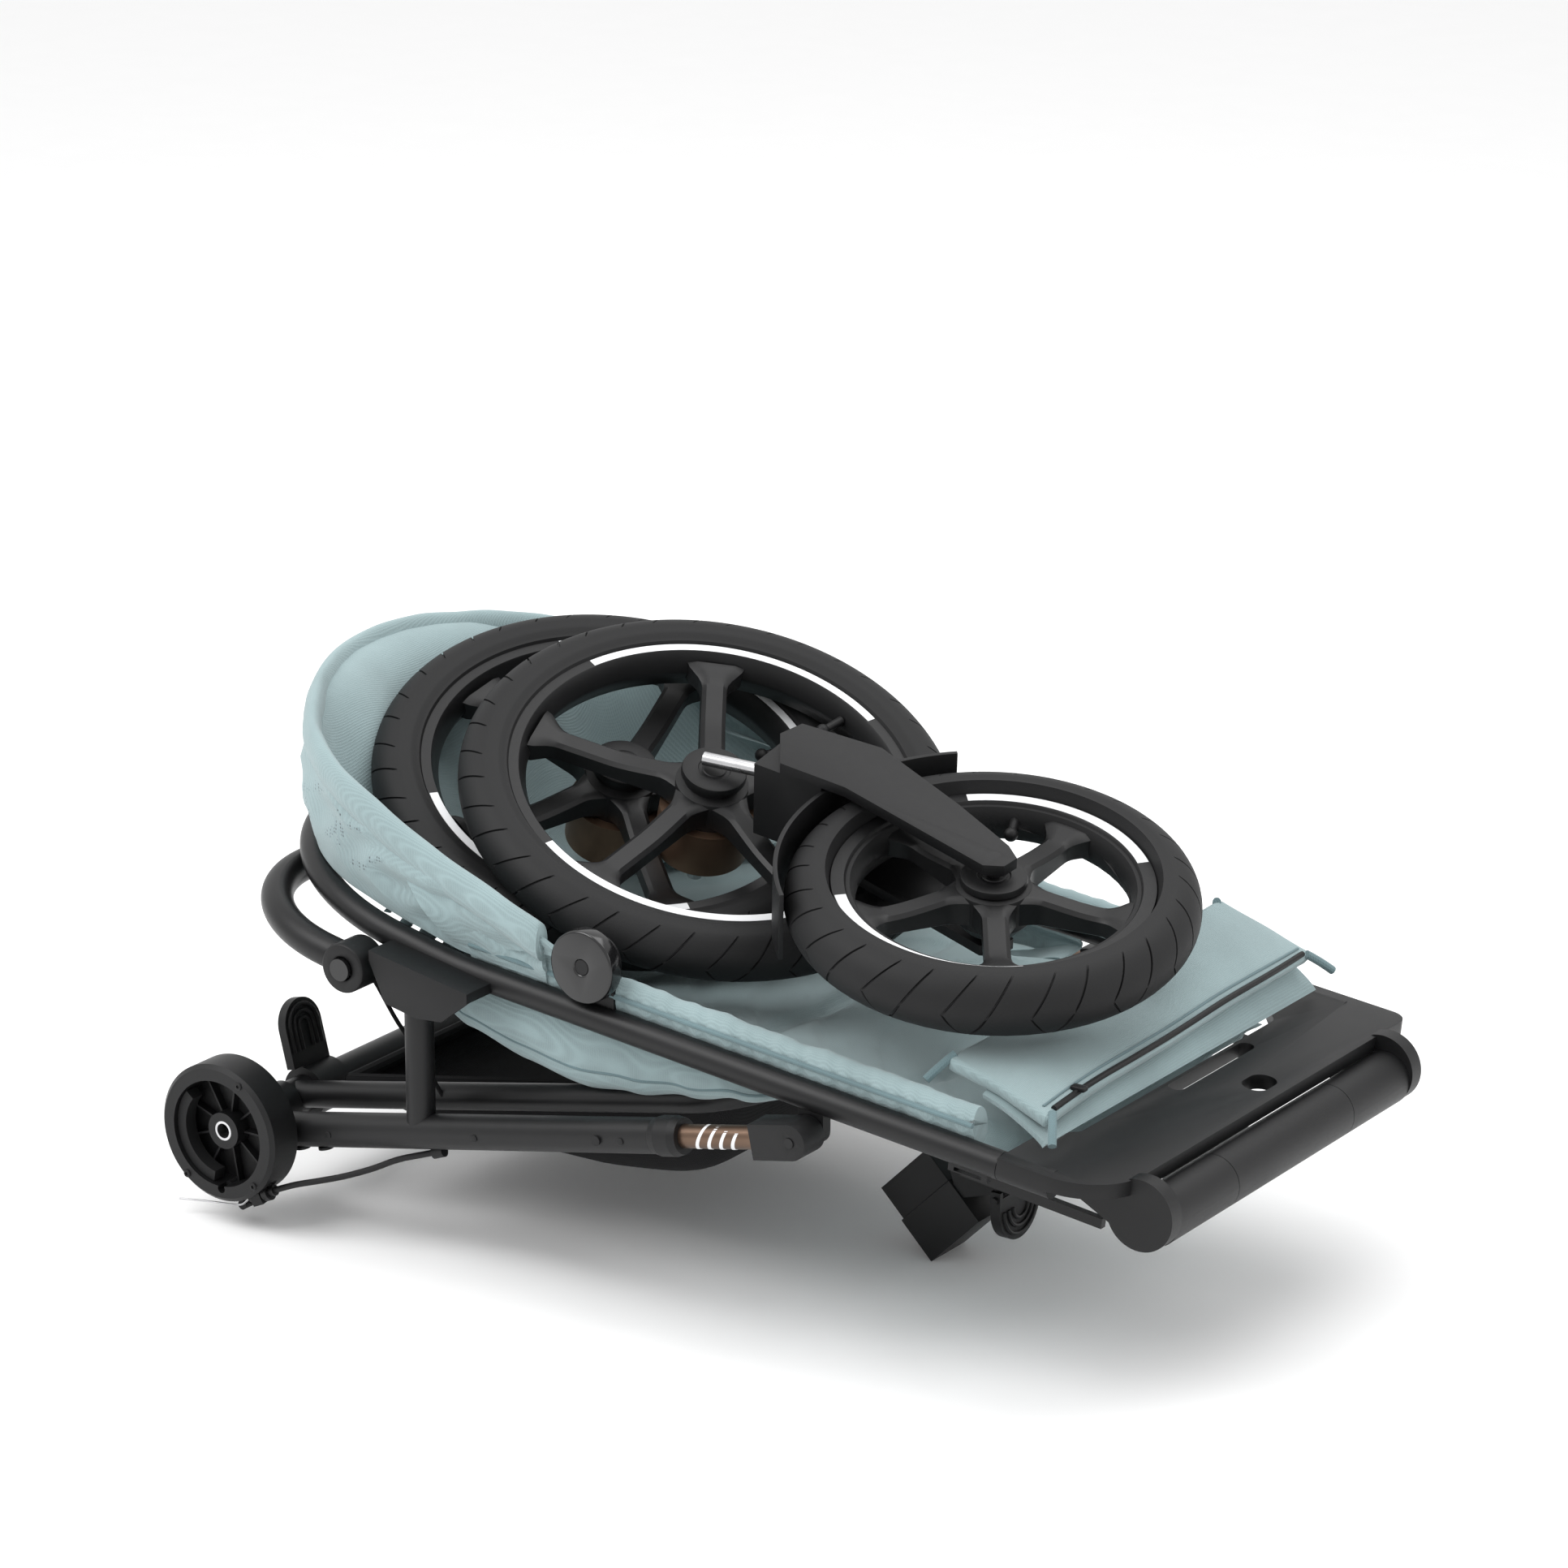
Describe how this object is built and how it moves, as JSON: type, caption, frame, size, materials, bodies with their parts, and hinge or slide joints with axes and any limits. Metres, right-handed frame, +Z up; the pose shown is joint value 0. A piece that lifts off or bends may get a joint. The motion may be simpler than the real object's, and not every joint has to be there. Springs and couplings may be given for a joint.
{
  "type": "folded jogging stroller",
  "caption": "Folded three-wheeled jogging stroller with its wheels taken off and stacked on the cloth seat, canopy folded back, footrest at the front.",
  "frame": {"origin": "middle of the bounding box in X and Y, on the floor in Z", "axes": "+X forward towards the footrest, +Y to the rider's left, +Z up"},
  "size_m": [0.9008, 0.57, 0.4325],
  "materials": {
    "painted_metal": "fine matt black powder coat",
    "black_plastic": "fine-grained black moulding",
    "gloss_plastic": "glossy black moulding",
    "tyre_rubber": "soft black rubber",
    "bright_steel": "bright turned steel",
    "bronze_metal": "satin bronze anodising",
    "bronze_drum": "turned bronze-coloured drum",
    "sage_fabric": "woven grey-blue cloth",
    "black_fabric": "black woven cloth with mesh"
  },
  "bodies": {
    "rear_frame": {"leg_tube_right": "painted_metal", "leg_tube_left": "painted_metal", "leg_collars": "black_plastic", "axle_tube": "painted_metal", "axle_sleeves": "painted_metal", "basket_tube": "painted_metal", "frame_posts": "painted_metal", "brake_plate_right": "black_plastic", "brake_plate_left": "black_plastic", "axle_bushes": "bright_steel", "brake_shoes": "tyre_rubber", "brake_cables": "tyre_rubber", "cable_adjusters": "painted_metal", "cable_plugs": "black_plastic", "brake_wires": "bright_steel", "basket": "black_fabric", "leg_plugs": "black_plastic"},
    "leg_stanchions": {"stanchions": "bronze_metal", "pivot_fittings": "black_plastic", "pivot_bolts": "bright_steel"},
    "brake_lever_right": {"brake_arm_right": "painted_metal"},
    "brake_lever_left": {"brake_arm_left": "painted_metal"},
    "parking_pedal": {"brake_pedal": "black_plastic"},
    "seat_frame": {"ring_tube": "painted_metal", "pivot_lugs": "painted_metal", "leaf_brackets": "black_plastic", "hub_pins": "bright_steel", "strap_loops": "black_plastic", "footrest_board": "black_plastic", "roll_ends": "black_plastic", "front_links": "black_plastic", "canopy_mounts": "black_plastic", "canopy_fabric": "sage_fabric", "seat_pad": "sage_fabric", "leg_flap": "sage_fabric"},
    "folding_arm": {"roll_middle": "black_plastic", "front_arm": "black_plastic", "stem_socket": "black_plastic"},
    "arm_release": {"release_lever": "black_plastic"},
    "push_handle": {"handlebar": "painted_metal", "handle_hubs": "black_plastic"},
    "handle_button_right": {"hub_button_right": "gloss_plastic"},
    "handle_button_left": {"hub_button_left": "gloss_plastic"},
    "canopy": {"canopy_bow": "painted_metal", "canopy_discs": "gloss_plastic"},
    "stowed_wheel_b": {"rear_tyre_b": "tyre_rubber", "rear_rim_b": "black_plastic", "rear_drum_b": "bronze_drum", "rear_stub_b": "bright_steel"},
    "stowed_axle_a": {"rear_stub_a": "bright_steel"},
    "stowed_wheel_a": {"rear_tyre_a": "tyre_rubber", "rear_rim_a": "black_plastic", "rear_drum_a": "bronze_drum"},
    "stowed_fork": {"front_fork": "black_plastic", "stem_pin": "bright_steel", "fork_mudguard": "black_plastic", "front_axle_bolt": "bright_steel"},
    "stowed_front_wheel": {"front_tyre": "tyre_rubber", "front_rim": "black_plastic"}
  },
  "joints": [
    {"name": "stanchion_spring", "type": "slide", "parent": "rear_frame", "child": "leg_stanchions", "axis": [-0.9788, 0, -0.2046], "range_m": [0, 0.01], "stiffness_N_per_m": 30000},
    {"name": "seat_fold", "type": "hinge", "parent": "leg_stanchions", "child": "seat_frame", "pos_m": [0.1564, 0, 0.17707], "axis": [0, 1, 0], "range_deg": [0, 57]},
    {"name": "arm_fold", "type": "hinge", "parent": "seat_frame", "child": "folding_arm", "pos_m": [0.4264, 0, 0.155], "axis": [0, -1, 0], "range_deg": [0, 174]},
    {"name": "arm_release_squeeze", "type": "hinge", "parent": "folding_arm", "child": "arm_release", "pos_m": [0.1994, 0, 0.0675], "axis": [0, -1, 0], "range_deg": [0, 15], "stiffness_Nm_per_rad": 0.3},
    {"name": "handle_tilt", "type": "hinge", "parent": "seat_frame", "child": "push_handle", "pos_m": [-0.2556, 0, 0.233], "axis": [0, -1, 0], "range_deg": [0, 30]},
    {"name": "handle_button_right_press", "type": "slide", "parent": "push_handle", "child": "handle_button_right", "axis": [0, 1, 0], "range_m": [0, 0.003], "stiffness_N_per_m": 300},
    {"name": "handle_button_left_press", "type": "slide", "parent": "push_handle", "child": "handle_button_left", "axis": [0, -1, 0], "range_m": [0, 0.003], "stiffness_N_per_m": 300},
    {"name": "canopy_open", "type": "hinge", "parent": "seat_frame", "child": "canopy", "pos_m": [-0.0486, 0, 0.267], "axis": [0, 1, 0], "range_deg": [0, 110], "deforming": ["canopy_fabric"]},
    {"name": "pedal_press", "type": "hinge", "parent": "rear_frame", "child": "parking_pedal", "pos_m": [-0.3666, 0, 0.079], "axis": [0, -1, 0], "range_deg": [0, 35]},
    {"name": "brake_arm_right_pull", "type": "hinge", "parent": "rear_frame", "child": "brake_lever_right", "pos_m": [-0.3636, 0, 0.033], "axis": [0, -1, 0], "range_deg": [0, 17.5]},
    {"name": "brake_arm_left_pull", "type": "hinge", "parent": "rear_frame", "child": "brake_lever_left", "pos_m": [-0.3636, 0, 0.033], "axis": [0, -1, 0], "range_deg": [0, 17.5]},
    {"name": "lift_off_wheel_b", "type": "slide", "parent": "seat_frame", "child": "stowed_wheel_b", "axis": [0.349, -0.245, 0.9045], "range_m": [0, 0.05]},
    {"name": "lift_off_wheel_a", "type": "slide", "parent": "stowed_wheel_b", "child": "stowed_axle_a", "axis": [0.349, -0.245, 0.9045], "range_m": [0, 0.04]},
    {"name": "wheel_a_spin", "type": "hinge", "parent": "stowed_axle_a", "child": "stowed_wheel_a", "pos_m": [-0.0916, 0.002, 0.334], "axis": [0.349, -0.245, 0.9045], "continuous": true},
    {"name": "lift_off_fork", "type": "slide", "parent": "stowed_axle_a", "child": "stowed_fork", "axis": [0.155, -0.196, 0.9683], "range_m": [0, 0.04]},
    {"name": "front_wheel_spin", "type": "hinge", "parent": "stowed_fork", "child": "stowed_front_wheel", "pos_m": [0.2014, -0.041, 0.317], "axis": [0.155, -0.196, 0.9683], "continuous": true}
  ],
  "couplings": [
    {"joint": "arm_fold", "follows": "seat_fold", "ratio": 3.0526},
    {"joint": "brake_arm_right_pull", "follows": "pedal_press", "ratio": 0.5},
    {"joint": "brake_arm_left_pull", "follows": "pedal_press", "ratio": 0.5}
  ]
}
